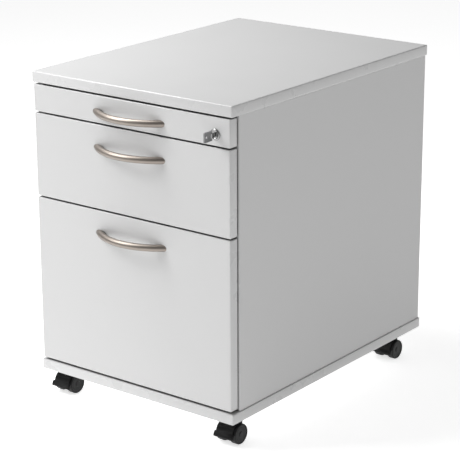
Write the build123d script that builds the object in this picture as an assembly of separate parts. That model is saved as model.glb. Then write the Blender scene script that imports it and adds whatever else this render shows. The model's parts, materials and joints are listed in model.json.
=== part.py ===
"""Rolling pedestal cabinet: melamine-faced boards, a pen tray drawer, a box drawer and a hanging-file drawer,
steel bow handles, a central lock with a folding key, and four twin-wheel swivel casters.

Millimetres. +Z is up, the drawers open towards -Y, and the origin is on the floor under the middle of the
whole object, handles included.
"""
import os
from math import cos, pi, radians, sin

from build123d import *

os.makedirs("parts", exist_ok=True)

# ---------------------------------------------------------------- driving dimensions
CABINET_WIDTH = 428.0
CABINET_DEPTH = 580.0          # edge to edge of the top, without the handles
CABINET_HEIGHT = 590.0
END_BOARD = 19.0               # top and base boards
SIDE_BOARD = 16.0
BACK_BOARD = 16.0
SIDE_RECESS = 2.0              # the side boards stand in from the ends of the top and base
BACK_RECESS = 3.0
BOARD_EDGE_RADIUS = 1.5

FRONT_BOARD = 19.0
FRONT_INSET = 4.0              # from the side of the cabinet to the side edge of a front
PEN_FRONT_HEIGHT = 47.0
BOX_FRONT_HEIGHT = 147.0       # the file front takes what is left
FRONT_GAP = 3.0                # above each front
BASE_GAP = 4.0                 # between the lowest front and the base board
REVEAL = 2.0                   # dark gap between the fronts and the edges of the side boards
FRONT_EDGE_RADIUS = 1.0

HANDLE_ROD = 12.0              # diameter
HANDLE_SPAN = 136.0            # between the rod's centres where they meet the front
HANDLE_HOLES = 128.0
HANDLE_PROJECTION = 30.0
PEN_HANDLE_DROP = 28.0         # from the top of the front to the handle
HANDLE_DROP = 39.5

SHEET = 1.2                    # drawer and rail steel
DRAWER_CLEARANCE = 14.0        # from a side board to the steel drawers
BOX_LIFT = 10.0                # from the lower edge of a front up to its drawer's bottom
FILE_LIFT = 11.0
TRAY_LIFT = 5.0
BOX_DEPTH = 500.0
BOX_HEIGHT = 110.0
FILE_DEPTH = 506.0
FILE_HEIGHT = 258.0
FILE_HOOK_SPACING = 330.0      # between the lips that hanging files ride on

TRAY_WALL = 2.5
TRAY_CLEARANCE = 17.0          # from a side board to the pen tray
TRAY_DEPTH = 416.0
TRAY_HEADROOM = 8.5            # from the pen tray up to the top board
TRAY_RAIL_LENGTH = 444.0

ROLLER_RADIUS = 10.0
ROLLER_WIDTH = 7.7
BOX_RAIL_LENGTH = 460.0
SLIDE_LENGTH = 490.0           # ball-bearing slides of the file drawer
SLIDE_HEIGHT = 45.0
BALL_RADIUS = 1.95
BALLS_PER_STRIP = 6

LOCK_FROM_FRONT_EDGE = 29.0    # from the side edge of the front to the lock's axis
LOCK_BODY_RADIUS = 8.0
PLUG_RADIUS = 5.5
CAM_BASE_RADIUS = 4.0          # the bar rises this far per radian of key turn
CAM_START = 1.6                # involute roll angle under the bar's lug when unlocked, in radians
BAR_THICK = 2.5
BAR_WIDTH = 12.0
BAR_GAP = 0.5                  # from the side board to the locking bar
BAR_SETBACK = 26.0             # from the fronts to the locking bar
RAIL_SETBACK = 4.0             # from the locking bar to every rail
CATCH_RADIUS = 3.0
CATCH_CLEARANCE = 3.0          # from the end of a catch pin to the bar
HOOK_CLEARANCE = 1.0           # from a catch pin to the hook in front of it
TRAY_CATCH_RISE = 8.0          # from the bottom of a drawer up to its catch pin
BOX_CATCH_RISE = 59.0
FILE_CATCH_DROP = 40.0         # from the top of the file drawer

CASTER_HEIGHT = 48.0
WHEEL_RADIUS = 18.0
WHEEL_WIDTH = 13.0
FORK_HALF_WIDTH = 7.5
CASTER_TRAIL = 12.0            # from the swivel pin forward to the axle
CASTER_SIDE_INSET = 30.5       # from the side of the base to the swivel pin
CASTER_FRONT_INSET = 48.0      # from the front edge of the base to the swivel pin
CASTER_BACK_INSET = 48.0
PLATE_SIZE = 40.0
PLATE_THICK = 2.5

RUNNING = 0.05                 # radial clearance of a shaft in its hole
GAP = 0.3                      # between pieces that pass each other
OVERCUT = 1.0                  # how far a cut runs past the face that it opens

# ---------------------------------------------------------------- places worked out from them
FRONT_Y = (HANDLE_PROJECTION - CABINET_DEPTH) / 2
REAR_Y = FRONT_Y + CABINET_DEPTH
FRONT_BACK_Y = FRONT_Y + FRONT_BOARD
FRONT_HALF = CABINET_WIDTH / 2 - FRONT_INSET
SIDE_FRONT_Y = FRONT_BACK_Y + REVEAL
BACK_OUT_Y = REAR_Y - BACK_RECESS
BACK_IN_Y = BACK_OUT_Y - BACK_BOARD
SIDE_OUT_X = CABINET_WIDTH / 2 - SIDE_RECESS
SIDE_IN_X = SIDE_OUT_X - SIDE_BOARD
BASE_TOP_Z = CASTER_HEIGHT + END_BOARD
TOP_UNDER_Z = CABINET_HEIGHT - END_BOARD

PEN_FRONT_Z = (TOP_UNDER_Z - FRONT_GAP - PEN_FRONT_HEIGHT, TOP_UNDER_Z - FRONT_GAP)
BOX_FRONT_Z = (PEN_FRONT_Z[0] - FRONT_GAP - BOX_FRONT_HEIGHT, PEN_FRONT_Z[0] - FRONT_GAP)
FILE_FRONT_Z = (BASE_TOP_Z + BASE_GAP, BOX_FRONT_Z[0] - FRONT_GAP)
PEN_HANDLE_Z = PEN_FRONT_Z[1] - PEN_HANDLE_DROP
BOX_HANDLE_Z = BOX_FRONT_Z[1] - HANDLE_DROP
FILE_HANDLE_Z = FILE_FRONT_Z[1] - HANDLE_DROP

DRAWER_X = SIDE_IN_X - DRAWER_CLEARANCE          # outer face of the steel drawers
BOX_Z = BOX_FRONT_Z[0] + BOX_LIFT
FILE_Z = FILE_FRONT_Z[0] + FILE_LIFT
TRAY_X = SIDE_IN_X - TRAY_CLEARANCE
TRAY_Z = PEN_FRONT_Z[0] + TRAY_LIFT
TRAY_TOP_Z = TOP_UNDER_Z - TRAY_HEADROOM

BAR_X = (SIDE_IN_X - BAR_GAP - BAR_THICK, SIDE_IN_X - BAR_GAP)
BAR_Y = (FRONT_BACK_Y + BAR_SETBACK, FRONT_BACK_Y + BAR_SETBACK + BAR_WIDTH)
RAIL_Y = BAR_Y[1] + RAIL_SETBACK                 # front end of every rail
CATCH_X = BAR_X[0] - CATCH_CLEARANCE             # outer end of the drawers' catch pins
CATCH_Y = BAR_Y[0] + BAR_THICK + HOOK_CLEARANCE + CATCH_RADIUS
TRAY_CATCH_Z = TRAY_Z + TRAY_CATCH_RISE
BOX_CATCH_Z = BOX_Z + BOX_CATCH_RISE
FILE_CATCH_Z = FILE_Z + FILE_HEIGHT - FILE_CATCH_DROP

LOCK_X = FRONT_HALF - LOCK_FROM_FRONT_EDGE
LOCK_Z = PEN_HANDLE_Z
CASTER_X = CABINET_WIDTH / 2 - CASTER_SIDE_INSET
CASTER_PLACES = {
    "front_left": (-CASTER_X, FRONT_Y + CASTER_FRONT_INSET),
    "front_right": (CASTER_X, FRONT_Y + CASTER_FRONT_INSET),
    "rear_left": (-CASTER_X, REAR_Y - CASTER_BACK_INSET),
    "rear_right": (CASTER_X, REAR_Y - CASTER_BACK_INSET),
}


# ---------------------------------------------------------------- helpers
def block(x, y, z):
    """A box between a low and a high value on each axis."""
    middle = [(low + high) / 2 for low, high in (x, y, z)]
    return Pos(*middle) * Box(x[1] - x[0], y[1] - y[0], z[1] - z[0])


def rod(start, end, radius):
    """A round bar from one point to another."""
    way = Vector(*end) - Vector(*start)
    bar = Cylinder(radius, way.length, align=(Align.CENTER, Align.CENTER, Align.MIN))
    return Plane(origin=start, z_dir=way) * bar


def slab(plane, points, low, high):
    """A flat outline in a plane, made solid between two distances along the plane's normal."""
    return extrude(plane.offset(low) * Polygon(*points, align=None), high - low)


def screw(seat, tip, radius, head_radius, head_height):
    """A pan-head screw from the seat under its head to its tip."""
    way = (Vector(*seat) - Vector(*tip)).normalized()
    top = Vector(*seat) + way * head_height
    return rod(seat, tip, radius) + rod(seat, tuple(top), head_radius)


def mirrored(shape):
    return mirror(shape, about=Plane.YZ)


def both_sides(shape):
    """The right-hand piece and its left-hand mirror image."""
    return [shape, mirrored(shape)]


def save(name, *shapes):
    """Write one node: a single solid, or a group of separate ones."""
    solids = [solid for shape in shapes for solid in shape.solids()]
    export_step(solids[0] if len(solids) == 1 else Compound(solids), f"parts/{name}.step")


# ---------------------------------------------------------------- carcass
DOWEL_RADIUS = 4.0
DOWEL_IN_END = 12.0            # depth in the top or base board
DOWEL_IN_SIDE = 18.0
DOWEL_FRONT_INSET = 54.0       # from the front edge of a side board to its first dowel
DOWEL_BACK_INSET = 52.0
BACK_DOWEL_INSET = 78.4        # from a side board to the back board's dowel


def dowel_places():
    """Middle of each dowel in plan: three along each side board, two along the back board."""
    side_x = SIDE_OUT_X - SIDE_BOARD / 2
    middle_y = (SIDE_FRONT_Y + BACK_OUT_Y) / 2
    along = [SIDE_FRONT_Y + DOWEL_FRONT_INSET, middle_y, BACK_OUT_Y - DOWEL_BACK_INSET]
    back_x = SIDE_IN_X - BACK_DOWEL_INSET
    places = [(x, y) for x in (-side_x, side_x) for y in along]
    return places + [(x, BACK_OUT_Y - BACK_BOARD / 2) for x in (-back_x, back_x)]


def dowels(clearance=0.0):
    """The dowels, or with a clearance the holes that they sit in."""
    shapes = []
    for x, y in dowel_places():
        for joint_z, up in ((TOP_UNDER_Z, 1), (BASE_TOP_Z, -1)):
            low = (x, y, joint_z - up * (DOWEL_IN_SIDE + clearance))
            high = (x, y, joint_z + up * (DOWEL_IN_END + clearance))
            shapes.append(rod(low, high, DOWEL_RADIUS + clearance))
    return shapes


def end_board(z):
    """Top or base board, with all edges rounded."""
    width = CABINET_WIDTH / 2
    board = block((-width, width), (FRONT_Y, REAR_Y), z)
    return fillet(board.edges(), BOARD_EDGE_RADIUS) - dowels(RUNNING)


def side_board():
    board = block((SIDE_IN_X, SIDE_OUT_X), (SIDE_FRONT_Y, BACK_OUT_Y), (BASE_TOP_Z, TOP_UNDER_Z))
    return board - dowels(RUNNING)


def back_board():
    board = block((-SIDE_IN_X, SIDE_IN_X), (BACK_IN_Y, BACK_OUT_Y), (BASE_TOP_Z, TOP_UNDER_Z))
    return board - dowels(RUNNING)


# ---------------------------------------------------------------- rails and their screws
TRAY_RAIL_Z = TRAY_TOP_Z - TRAY_WALL - GAP       # where the tray's flange slides
TRAY_RAIL_ROOM = 5.6                             # between the rail's lips
TRAY_RAIL_GAP = 3.0                              # from the tray's side to the rail's lips
BOX_RAIL_DROP = 5.0                              # from the drawer's bottom down to its rail
BOX_RAIL_HEIGHT = 28.0
BOX_RAIL_GAP = 2.5                               # from the drawer's side to the rail's lips
BOX_RAIL_Z = BOX_Z - BOX_RAIL_DROP
ROLLER_PLAY = 0.2                                # between a roller and the track that it rolls on
RUNNER_Z = BOX_RAIL_Z + SHEET + 2 * ROLLER_RADIUS + 3 * ROLLER_PLAY    # underside of the runner's flange
SLIDE_RISE = 143.0
SLIDE_Z = FILE_Z + SLIDE_RISE                    # middle of the file slides
WOOD_SCREW_RADIUS = 2.0
WOOD_SCREW_DEPTH = 12.0
WOOD_SCREW_HEAD = 1.8                            # height of the head
RAIL_HEAD_RADIUS = 3.6
TRAY_RAIL_HEAD_RADIUS = 2.4


def channel(web_x, lip_x, y, z, wall, lip):
    """A C-shaped rail on the right side: a web at the outside and a lip at the top and bottom."""
    outside = block((lip_x, web_x), y, z)
    return outside - block((lip_x - OVERCUT, web_x - wall), y, (z[0] + lip, z[1] - lip))


def tray_rail():
    z = (TRAY_RAIL_Z - SHEET, TRAY_RAIL_Z + TRAY_RAIL_ROOM + SHEET)
    y = (RAIL_Y, RAIL_Y + TRAY_RAIL_LENGTH)
    return channel(SIDE_IN_X, TRAY_X + TRAY_RAIL_GAP, y, z, SHEET, SHEET)


FRONT_ROLLER_INSET = 12.0
REAR_ROLLER_INSET = 14.0
FRONT_ROLLER_Y = RAIL_Y + FRONT_ROLLER_INSET
REAR_ROLLER_Y = FRONT_BACK_Y + BOX_DEPTH - REAR_ROLLER_INSET
FRONT_ROLLER_Z = RUNNER_Z - ROLLER_PLAY - ROLLER_RADIUS
REAR_ROLLER_Z = BOX_RAIL_Z + SHEET + ROLLER_PLAY + ROLLER_RADIUS
ROLLER_FROM_DRAWER = 2.9
ROLLER_X = (DRAWER_X + ROLLER_FROM_DRAWER, DRAWER_X + ROLLER_FROM_DRAWER + ROLLER_WIDTH)
ROLLER_PIN = 3.0
ROLLER_EDGE_RADIUS = 0.8


def box_rail():
    """Cabinet half of a roller runner, with the pin of its front roller."""
    z = (BOX_RAIL_Z, BOX_RAIL_Z + BOX_RAIL_HEIGHT)
    y = (RAIL_Y, RAIL_Y + BOX_RAIL_LENGTH)
    rail = channel(SIDE_IN_X, DRAWER_X + BOX_RAIL_GAP, y, z, SHEET, SHEET)
    axis = (FRONT_ROLLER_Y, FRONT_ROLLER_Z)
    return rail + rod((SIDE_IN_X - SHEET, *axis), (ROLLER_X[0] - GAP, *axis), ROLLER_PIN)


def box_runner():
    """Drawer half of a roller runner: an angle on the box's side, with the pin of its rear roller."""
    y = (FRONT_BACK_Y, FRONT_BACK_Y + BOX_DEPTH)
    web = block((DRAWER_X, DRAWER_X + SHEET), y, (BOX_Z, RUNNER_Z + SHEET))
    flange = block((DRAWER_X, ROLLER_X[1] - ROLLER_PLAY), y, (RUNNER_Z, RUNNER_Z + SHEET))
    axis = (REAR_ROLLER_Y, REAR_ROLLER_Z)
    return web + flange + rod((DRAWER_X, *axis), (ROLLER_X[1] + GAP, *axis), ROLLER_PIN)


def roller(y, z):
    tyre = rod((ROLLER_X[0], y, z), (ROLLER_X[1], y, z), ROLLER_RADIUS)
    tyre = fillet(tyre.edges(), ROLLER_EDGE_RADIUS)
    return tyre - rod((ROLLER_X[0] - OVERCUT, y, z), (ROLLER_X[1] + OVERCUT, y, z), ROLLER_PIN + RUNNING)


SLIDE_WALL = 1.5
SLIDE_SETBACK = 2.0            # the file slides start behind the other rails
SLIDE_Y = (RAIL_Y + SLIDE_SETBACK, RAIL_Y + SLIDE_SETBACK + SLIDE_LENGTH)
BALL_ROOM = 4.0                # height of a ball track between two members
OUTER_HALF = SLIDE_HEIGHT / 2
MIDDLE_HALF = OUTER_HALF - SLIDE_WALL - BALL_ROOM
INNER_HALF = MIDDLE_HALF - SLIDE_WALL - BALL_ROOM
MIDDLE_WEB_X = SIDE_IN_X - 4.5
OUTER_LIP_X = DRAWER_X + 4.5
MIDDLE_LIP_X = DRAWER_X + 2.6
INNER_LIP_X = MIDDLE_WEB_X - SLIDE_WALL - 0.8
SLIDE_TRAVEL = SLIDE_LENGTH


def slide_band(half):
    return (SLIDE_Z - half, SLIDE_Z + half)


def slide_outer_member():
    return channel(SIDE_IN_X, OUTER_LIP_X, SLIDE_Y, slide_band(OUTER_HALF), SLIDE_WALL, SLIDE_WALL)


def slide_middle_member():
    return channel(MIDDLE_WEB_X, MIDDLE_LIP_X, SLIDE_Y, slide_band(MIDDLE_HALF), SLIDE_WALL, SLIDE_WALL)


def slide_drawer_member():
    """The innermost channel opens outwards, with its web on the drawer."""
    outside = block((DRAWER_X, INNER_LIP_X), SLIDE_Y, slide_band(INNER_HALF))
    return outside - block((DRAWER_X + SLIDE_WALL, SIDE_IN_X), SLIDE_Y, slide_band(INNER_HALF - SLIDE_WALL))


CAGE_THICK = 0.8
CAGE_HALF_WIDTH = 3.0
CAGE_LENGTH = 240.0
CAGE_Y = SLIDE_Y[0] + SLIDE_TRAVEL / 4 + 2.0     # keeps the cages between both members at full travel
OUTER_BALL_X = DRAWER_X + 6.6
INNER_BALL_X = DRAWER_X + 5.0


def ball_strips(x, half):
    """Upper and lower ball strips of one track, with the balls in their holes."""
    step = CAGE_LENGTH / BALLS_PER_STRIP
    pieces = []
    for side in (-1, 1):
        z = SLIDE_Z + side * (half + BALL_ROOM / 2)
        strip = block((x - CAGE_HALF_WIDTH, x + CAGE_HALF_WIDTH), (CAGE_Y, CAGE_Y + CAGE_LENGTH),
                      (z - CAGE_THICK / 2, z + CAGE_THICK / 2))
        for n in range(BALLS_PER_STRIP):
            place = Pos(x, CAGE_Y + (n + 0.5) * step, z)
            strip -= place * Cylinder(BALL_RADIUS + RUNNING, 2 * CAGE_THICK)
            pieces.append(place * Sphere(BALL_RADIUS))
        pieces.append(strip)
    return pieces


def rail_screw_places():
    """Height, web position, head radius and the places along it, for the screws of each rail on the right."""
    tray_z = TRAY_RAIL_Z + TRAY_RAIL_ROOM / 2
    box_z = BOX_RAIL_Z + BOX_RAIL_HEIGHT / 2
    rows = [(tray_z, SHEET, TRAY_RAIL_HEAD_RADIUS, TRAY_RAIL_LENGTH),
            (box_z, SHEET, RAIL_HEAD_RADIUS, BOX_RAIL_LENGTH),
            (SLIDE_Z, SLIDE_WALL, RAIL_HEAD_RADIUS, SLIDE_LENGTH)]
    shares = (0.12, 0.5, 0.88)
    return [(z, wall, head, RAIL_Y + length * share) for z, wall, head, length in rows for share in shares]


def rail_screws():
    tip_x = SIDE_IN_X + WOOD_SCREW_DEPTH
    return [screw((SIDE_IN_X - wall, y, z), (tip_x, y, z), WOOD_SCREW_RADIUS, head, WOOD_SCREW_HEAD)
            for z, wall, head, y in rail_screw_places()]


def rail_screw_holes():
    tip_x = SIDE_IN_X + WOOD_SCREW_DEPTH + RUNNING
    return [rod((SIDE_IN_X - SLIDE_WALL - OVERCUT, y, z), (tip_x, y, z), WOOD_SCREW_RADIUS + RUNNING)
            for z, wall, head, y in rail_screw_places()]


# ---------------------------------------------------------------- fronts and handles
HANDLE_SCREW = 2.0             # radius
HANDLE_SCREW_DEPTH = 6.5       # into the foot of the handle
HANDLE_SCREW_HEAD = (4.0, 2.5) # radius and height


def front(z):
    board = block((-FRONT_HALF, FRONT_HALF), (FRONT_Y, FRONT_BACK_Y), z)
    return fillet(board.edges(), FRONT_EDGE_RADIUS)


def handle_screw_holes(z, radius):
    depth = HANDLE_SCREW_DEPTH + RUNNING
    return [rod((x, FRONT_BACK_Y + TRAY_WALL + OVERCUT, z), (x, FRONT_Y - depth, z), radius)
            for x in (-HANDLE_HOLES / 2, HANDLE_HOLES / 2)]


def handle(z):
    """A round rod bent to one arc in a level plane, cut flat where it meets the front."""
    rod_radius = HANDLE_ROD / 2
    rise = HANDLE_PROJECTION - rod_radius
    bend = ((HANDLE_SPAN / 2) ** 2 + rise ** 2) / (2 * rise)
    centre_y = FRONT_Y - rise + bend
    ring = Pos(0, centre_y, z) * Torus(bend, rod_radius)
    room = block((-HANDLE_SPAN, HANDLE_SPAN), (FRONT_Y - 2 * HANDLE_PROJECTION, FRONT_Y),
                 (z - HANDLE_ROD, z + HANDLE_ROD))
    bow = ring & room
    return bow - handle_screw_holes(z, HANDLE_SCREW + RUNNING)


def handle_screws(z, wall):
    """Two screws through the front from behind, with their heads on the drawer's front wall."""
    seat_y = FRONT_BACK_Y + wall
    return [screw((x, seat_y, z), (x, FRONT_Y - HANDLE_SCREW_DEPTH, z), HANDLE_SCREW, *HANDLE_SCREW_HEAD)
            for x in (-HANDLE_HOLES / 2, HANDLE_HOLES / 2)]


# ---------------------------------------------------------------- drawers
def catch_pin(inner_x, z):
    """The pin on a drawer's right side that the locking bar's hook holds back."""
    return rod((inner_x, CATCH_Y, z), (CATCH_X, CATCH_Y, z), CATCH_RADIUS)


def steel_box(depth, low_z, height, handle_z, catch_z):
    """The welded sheets of a drawer with no lid (bottom, two sides, front and rear) and its catch pin."""
    x = (-DRAWER_X, DRAWER_X)
    y = (FRONT_BACK_Y, FRONT_BACK_Y + depth)
    upright = (low_z + SHEET, low_z + height)
    bottom = block(x, y, (low_z, upright[0]))
    side = block((DRAWER_X - SHEET, DRAWER_X), y, upright)
    between = (-DRAWER_X + SHEET, DRAWER_X - SHEET)
    holes = handle_screw_holes(handle_z, HANDLE_SCREW + RUNNING)
    front_wall = block(between, (y[0], y[0] + SHEET), upright) - holes
    rear_wall = block(between, (y[1] - SHEET, y[1]), upright)
    return [bottom, *both_sides(side), front_wall, rear_wall, catch_pin(DRAWER_X, catch_z)]


HANGING_RAIL_INSET = 12.0      # from the drawer's ends
HANGING_RAIL_LEG = 22.0
HOOK_LIP_RISE = 8.0            # above the drawer's top
HOOK_LIP_HALF = 1.0


def hanging_rail():
    """An angle inside the file drawer's side, with the upright lip that hanging files ride on."""
    top_z = FILE_Z + FILE_HEIGHT
    wall_x = DRAWER_X - SHEET
    lip_x = (FILE_HOOK_SPACING / 2 - HOOK_LIP_HALF, FILE_HOOK_SPACING / 2 + HOOK_LIP_HALF)
    y = (FRONT_BACK_Y + HANGING_RAIL_INSET, FRONT_BACK_Y + FILE_DEPTH - HANGING_RAIL_INSET)
    leg = block((wall_x - SHEET, wall_x), y, (top_z - HANGING_RAIL_LEG, top_z))
    ledge = block((lip_x[0], wall_x), y, (top_z - SHEET, top_z))
    lip = block(lip_x, y, (top_z - SHEET, top_z + HOOK_LIP_RISE))
    return leg + ledge + lip


NOTCH_WIDTH = 15.0             # from the lock's axis: the tray's front right corner leaves room for the lock
NOTCH_PAST_BAR = 4.0           # behind the front edge of the locking bar
NOTCH_X = LOCK_X - NOTCH_WIDTH
NOTCH_Y = BAR_Y[0] + NOTCH_PAST_BAR
FLANGE_GAP = 1.0               # from the tray's flange to the locking bar
TRAY_RIBS = (76.0, 128.0)      # from the tray's front to its cross ribs
RIB_HEIGHT = 22.0
RIB_THICK = 2.0


def tray_outline(inset):
    """Plan of the tray, a rectangle with the lock's corner cut out, moved in by an inset."""
    front_y, rear_y = FRONT_BACK_Y + inset, FRONT_BACK_Y + TRAY_DEPTH - inset
    side = TRAY_X - inset
    return [(-side, front_y), (NOTCH_X - inset, front_y), (NOTCH_X - inset, NOTCH_Y + inset),
            (side, NOTCH_Y + inset), (side, rear_y), (-side, rear_y)]


def pen_tray():
    """A moulded tray with cross ribs, and flanges that slide in the tray rails."""
    shell = slab(Plane.XY, tray_outline(0), TRAY_Z, TRAY_TOP_Z)
    shell -= slab(Plane.XY, tray_outline(TRAY_WALL), TRAY_Z + TRAY_WALL, TRAY_TOP_Z + OVERCUT)
    side = TRAY_X - TRAY_WALL
    rib_z = (TRAY_Z, TRAY_Z + RIB_HEIGHT)
    for distance in TRAY_RIBS:
        y = FRONT_BACK_Y + distance
        shell += block((-side, side), (y, y + RIB_THICK), rib_z)
    middle_y = (FRONT_BACK_Y + TRAY_RIBS[0], FRONT_BACK_Y + TRAY_RIBS[1])
    shell += block((-RIB_THICK / 2, RIB_THICK / 2), middle_y, rib_z)
    flange_x = (TRAY_X - TRAY_WALL, BAR_X[0] - FLANGE_GAP)
    flange = block(flange_x, (NOTCH_Y, FRONT_BACK_Y + TRAY_DEPTH), (TRAY_TOP_Z - TRAY_WALL, TRAY_TOP_Z))
    for piece in both_sides(flange):
        shell += piece
    shell += catch_pin(TRAY_X - TRAY_WALL, TRAY_CATCH_Z)
    return shell - handle_screw_holes(PEN_HANDLE_Z, HANDLE_SCREW + RUNNING)


# ---------------------------------------------------------------- lock, key and locking bar
RING_PROUD = 2.5
RING_RADIUS = 9.75
RING_EDGE_RADIUS = 1.6
PLUG_RECESS = 0.7              # the plug's face lies this deep in the ring
PLUG_FRONT_Y = FRONT_Y - RING_PROUD + PLUG_RECESS
NUT_RADIUS = 11.5              # across its corners
NUT_THICK = 4.0
CAM_THICK = 3.0
CAM_HUB_RADIUS = 6.0
CAM_SETBACK = 3.5              # in front of the bar, and behind the lock cylinder
CAM_Y = (BAR_Y[0] - CAM_SETBACK - CAM_THICK, BAR_Y[0] - CAM_SETBACK)
CYLINDER_REAR_Y = CAM_Y[0] - CAM_SETBACK
CAM_SCREW = (1.5, 8.0)         # radius and length
CAM_SCREW_HEAD = (3.6, 2.0)    # radius and height
SQUARE = 5.0                   # the plug's end, which carries the cam
KEY_BLADE = (1.6, 6.2)         # thickness and height
KEY_INSERT = 21.3              # depth of the blade in the plug
KEY_SHOULDER = (3.4, 6.8)      # thickness and height
KEY_BOW = (2.5, 16.5)          # thickness and height
KEY_REACH = 29.0               # from the front board to the end of the bow
KEY_HINGE_Y = FRONT_Y - 11.2
HINGE_PIN = (0.8, 7.0)         # radius and half length
HINGE_EYE_RADIUS = 2.2
CAM_TURN = pi / 2
LUG_Z = LOCK_Z + CAM_BASE_RADIUS * CAM_START + GAP


def lock_axis(y):
    return (LOCK_X, y, LOCK_Z)


def lock_cylinder():
    ring = rod(lock_axis(FRONT_Y), lock_axis(FRONT_Y - RING_PROUD), RING_RADIUS)
    ring = fillet(ring.edges().filter_by(GeomType.CIRCLE).sort_by(Axis.Y)[0], RING_EDGE_RADIUS)
    body = rod(lock_axis(FRONT_Y - OVERCUT), lock_axis(CYLINDER_REAR_Y), LOCK_BODY_RADIUS)
    return ring + body - rod(lock_axis(FRONT_Y - 2 * RING_PROUD), lock_axis(CAM_Y[1]), PLUG_RADIUS + RUNNING)


def lock_nut():
    hexagon = Plane(origin=lock_axis(FRONT_BACK_Y), z_dir=(0, 1, 0)) * RegularPolygon(NUT_RADIUS, 6)
    bore = rod(lock_axis(FRONT_Y), lock_axis(CAM_Y[0]), LOCK_BODY_RADIUS + RUNNING)
    return extrude(hexagon, NUT_THICK) - bore


def lock_plug():
    """The turning core: a round barrel with the key's slot, and a square end for the cam."""
    barrel = rod(lock_axis(PLUG_FRONT_Y), lock_axis(CAM_Y[0]), PLUG_RADIUS)
    half = SQUARE / 2
    end = block((LOCK_X - half, LOCK_X + half), (CAM_Y[0] - OVERCUT, CAM_Y[1]),
                (LOCK_Z - half, LOCK_Z + half))
    width, height = [size / 2 + 2 * RUNNING for size in KEY_BLADE]
    slot = block((LOCK_X - width, LOCK_X + width), (PLUG_FRONT_Y - OVERCUT, PLUG_FRONT_Y + KEY_INSERT + GAP),
                 (LOCK_Z - height, LOCK_Z + height))
    radius, reach = [size + RUNNING for size in CAM_SCREW]
    return barrel + end - slot - rod(lock_axis(CAM_Y[1] - reach), lock_axis(CAM_Y[1] + OVERCUT), radius)


def cam_screw():
    radius, reach = CAM_SCREW
    return screw(lock_axis(CAM_Y[1]), lock_axis(CAM_Y[1] - reach), radius, *CAM_SCREW_HEAD)


def involute(roll):
    """Point of the cam's edge, seen from the front with the lock's axis at the origin, when unlocked."""
    turn = pi - CAM_START
    x = CAM_BASE_RADIUS * (cos(roll) + roll * sin(roll))
    z = CAM_BASE_RADIUS * (sin(roll) - roll * cos(roll))
    return (-(x * cos(turn) - z * sin(turn)), x * sin(turn) + z * cos(turn))


def lock_cam():
    """An involute cam, which lifts the flat lug of the bar by the same amount for each degree of turn."""
    plane = Plane(origin=lock_axis(CAM_Y[1]), x_dir=(1, 0, 0), z_dir=(0, -1, 0))
    first, last = CAM_START - 0.5, CAM_START + CAM_TURN + 0.15
    edge = Spline(*[involute(first + (last - first) * n / 8) for n in range(9)])
    outline = edge + Line(edge @ 1, (0, 0)) + Line((0, 0), edge @ 0)
    cam = extrude(plane * make_face(outline), CAM_THICK) + extrude(plane * Circle(CAM_HUB_RADIUS), CAM_THICK)
    half = SQUARE / 2 + RUNNING
    return cam - block((LOCK_X - half, LOCK_X + half), (CAM_Y[0] - OVERCUT, CAM_Y[1] + OVERCUT),
                       (LOCK_Z - half, LOCK_Z + half))


def upright_rod(y, half_height, radius):
    return rod((LOCK_X, y, LOCK_Z - half_height), (LOCK_X, y, LOCK_Z + half_height), radius)


def key_plate(size, y):
    """A flat piece of the key, standing in the lock's middle plane; size is its thickness and height."""
    half_width, half_height = [value / 2 for value in size]
    return block((LOCK_X - half_width, LOCK_X + half_width), y, (LOCK_Z - half_height, LOCK_Z + half_height))


def key_blade():
    """The steel half of the folding key: blade, shoulder, hinge eye and hinge pin."""
    blade = key_plate(KEY_BLADE, (KEY_HINGE_Y, PLUG_FRONT_Y + KEY_INSERT))
    shoulder = key_plate(KEY_SHOULDER, (KEY_HINGE_Y, PLUG_FRONT_Y - 1.5))
    eye = upright_rod(KEY_HINGE_Y, KEY_SHOULDER[1] / 2, HINGE_EYE_RADIUS)
    return blade + shoulder + eye + upright_rod(KEY_HINGE_Y, HINGE_PIN[1], HINGE_PIN[0])


def key_bow():
    """The flat grip, which folds to either side about the hinge pin."""
    tip_y = FRONT_Y - KEY_REACH
    grip = key_plate(KEY_BOW, (tip_y, KEY_HINGE_Y + HINGE_EYE_RADIUS - 0.4))
    grip = chamfer(grip.edges().filter_by(Axis.X).group_by(Axis.Y)[0], 3.0)
    room = (2 * KEY_BOW[0], KEY_SHOULDER[1] + 2 * GAP)
    grip -= key_plate(room, (KEY_HINGE_Y - HINGE_EYE_RADIUS - 2 * GAP, FRONT_Y))
    grip -= upright_rod(KEY_HINGE_Y, HINGE_PIN[1] + 2 * RUNNING, HINGE_PIN[0] + RUNNING)
    hole_y = tip_y + 5.6
    return grip - rod((LOCK_X - KEY_BOW[0], hole_y, LOCK_Z), (LOCK_X + KEY_BOW[0], hole_y, LOCK_Z), 1.4)


HOOK_HEIGHT = 10.0
HOOK_WIDTH = 4.0                                 # the hook reaches this far past the end of a catch pin
HOOK_DROP = CATCH_RADIUS + HOOK_CLEARANCE        # from a catch pin's axis down to its hook, unlocked
LUG_OFFSET = 1.5                                 # from the lock's axis to the end of the bar's lug
GUIDE_HEIGHT = 20.0
GUIDE_FOOT = 10.0
GUIDE_LOWER_Z = FILE_CATCH_Z - HOOK_DROP - HOOK_HEIGHT - GAP - GUIDE_HEIGHT
GUIDE_UPPER_Z = BOX_CATCH_Z + 30.0
GUIDE_WALL = 2.4
GUIDE_SCREW = (1.6, 10.0)      # radius and depth in the side board
GUIDE_SCREW_HEAD = (3.2, 1.4)  # radius and height


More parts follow.
